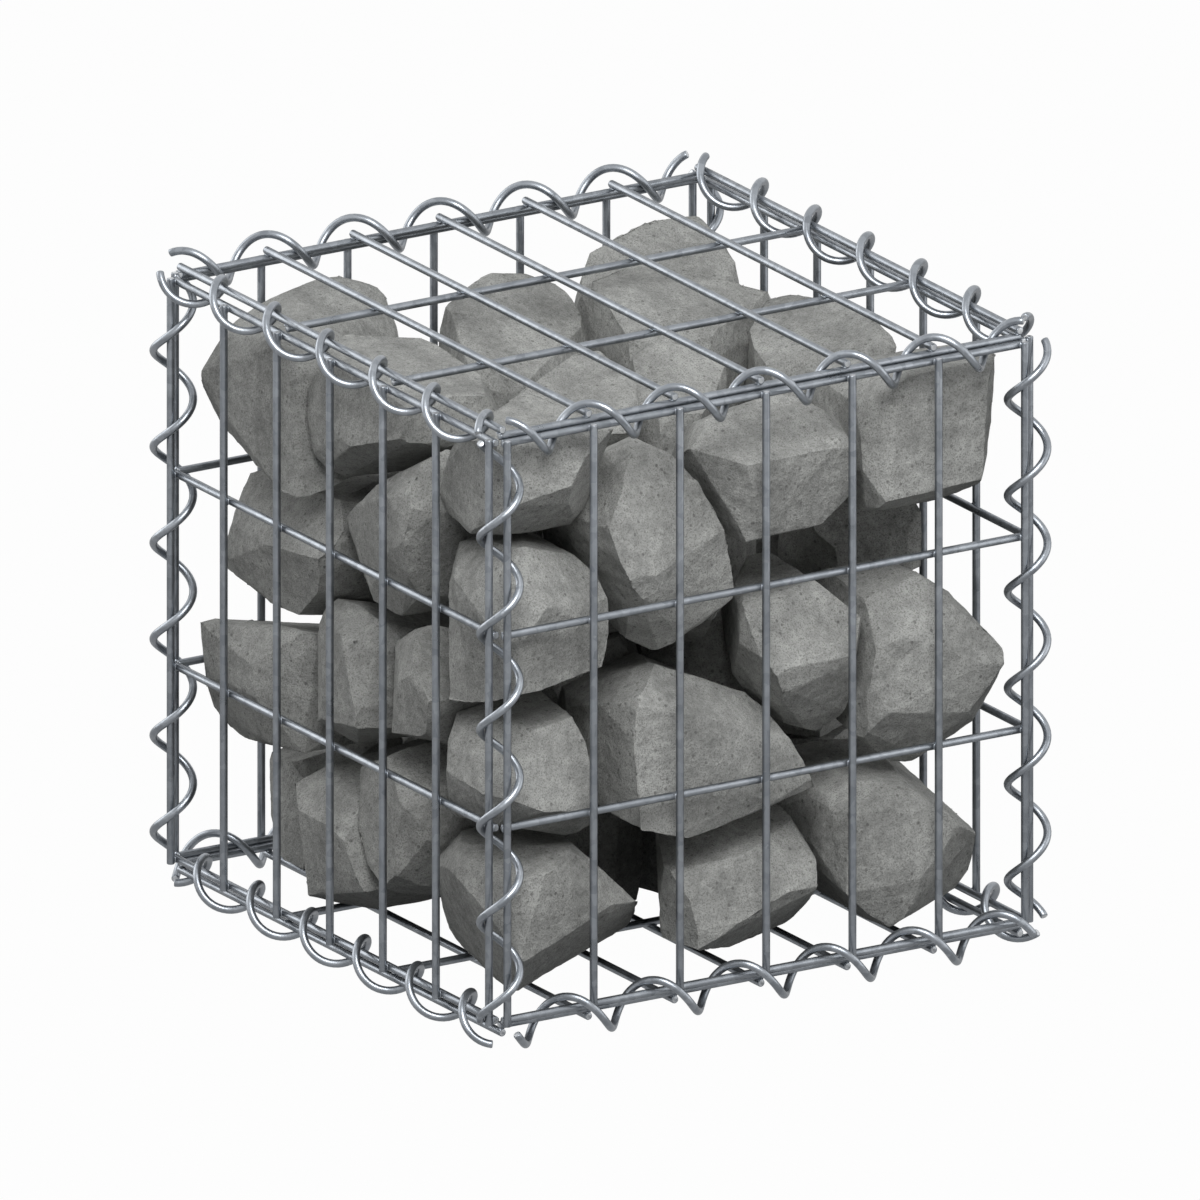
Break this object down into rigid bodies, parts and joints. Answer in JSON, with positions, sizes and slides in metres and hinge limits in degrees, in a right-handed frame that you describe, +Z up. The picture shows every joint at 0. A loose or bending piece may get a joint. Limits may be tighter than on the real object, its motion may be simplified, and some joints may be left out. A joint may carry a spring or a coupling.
{
  "type": "gabion wall block",
  "caption": "Cubic welded-mesh gabion basket laced with wire spirals along its edges and filled with broken angular stone, for garden walls.",
  "frame": {"origin": "middle of the plan, on the ground plane that the lowest turns of the base spirals stand on", "axes": "+X to the right along the front, +Y from the front to the back, +Z up"},
  "size_m": [0.3317, 0.3351, 0.33],
  "materials": {
    "galvanised_wire": "galvanised, dull satin",
    "broken_stone": "rough broken faces, finely speckled"
  },
  "bodies": {
    "root": {"base_mesh_panel": "galvanised_wire", "front_mesh_panel": "galvanised_wire", "back_mesh_panel": "galvanised_wire", "left_mesh_panel": "galvanised_wire", "right_mesh_panel": "galvanised_wire", "lid_mesh_panel": "galvanised_wire", "front_left_spiral": "galvanised_wire", "front_right_spiral": "galvanised_wire", "back_left_spiral": "galvanised_wire", "back_right_spiral": "galvanised_wire", "base_front_spiral": "galvanised_wire", "base_back_spiral": "galvanised_wire", "base_left_spiral": "galvanised_wire", "base_right_spiral": "galvanised_wire", "lid_front_spiral": "galvanised_wire", "lid_back_spiral": "galvanised_wire", "lid_left_spiral": "galvanised_wire", "lid_right_spiral": "galvanised_wire", "corner_top_stone": "broken_stone", "front_top_left_stone": "broken_stone", "front_top_middle_stone": "broken_stone", "front_top_right_stone": "broken_stone", "corner_upper_stone": "broken_stone", "front_upper_middle_stone": "broken_stone", "front_upper_right_stone": "broken_stone", "core_front_stone": "broken_stone", "corner_lower_stone": "broken_stone", "front_lower_middle_stone": "broken_stone", "front_bottom_middle_stone": "broken_stone", "front_bottom_right_stone": "broken_stone", "corner_bottom_stone": "broken_stone", "left_top_back_stone": "broken_stone", "left_top_middle_stone": "broken_stone", "left_upper_middle_stone": "broken_stone", "left_upper_back_stone": "broken_stone", "left_middle_back_stone": "broken_stone", "left_middle_stone": "broken_stone", "left_middle_front_stone": "broken_stone", "left_bottom_back_stone": "broken_stone", "left_bottom_middle_stone": "broken_stone", "left_bottom_front_stone": "broken_stone", "lid_left_middle_stone": "broken_stone", "lid_front_left_stone": "broken_stone", "lid_back_stone": "broken_stone", "lid_centre_stone": "broken_stone", "lid_middle_stone": "broken_stone", "lid_right_stone": "broken_stone", "right_upper_front_stone": "broken_stone", "right_face_stones": "broken_stone", "back_face_stones": "broken_stone", "core_stones": "broken_stone"}
  },
  "joints": []
}
